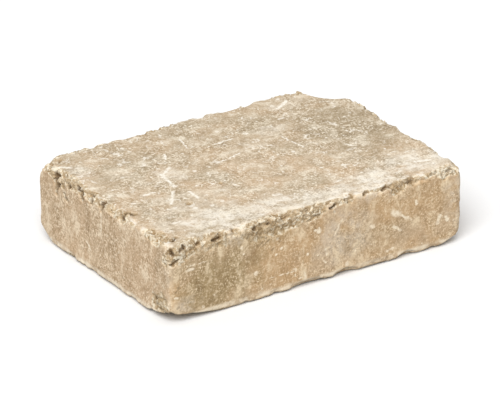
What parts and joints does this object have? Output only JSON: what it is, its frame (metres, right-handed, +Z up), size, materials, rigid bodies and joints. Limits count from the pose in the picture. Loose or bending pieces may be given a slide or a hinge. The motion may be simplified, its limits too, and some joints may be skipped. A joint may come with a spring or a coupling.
{
  "type": "tumbled concrete wall block",
  "caption": "Solid rectangular walling block of tumbled concrete with flat bed faces, worn arrises and broken corners, for dry-laid or bonded garden walls.",
  "frame": {"origin": "middle of the lower bed face, at the level that the block stands on", "axes": "+X along the block's length, +Y from the face side towards the back, +Z up through the bed faces"},
  "size_m": [0.3, 0.21, 0.074],
  "materials": {
    "concrete": "rough, tumbled, sand-coloured concrete with pale cement bloom"
  },
  "bodies": {
    "root": {"wall_block": "concrete"}
  },
  "joints": []
}
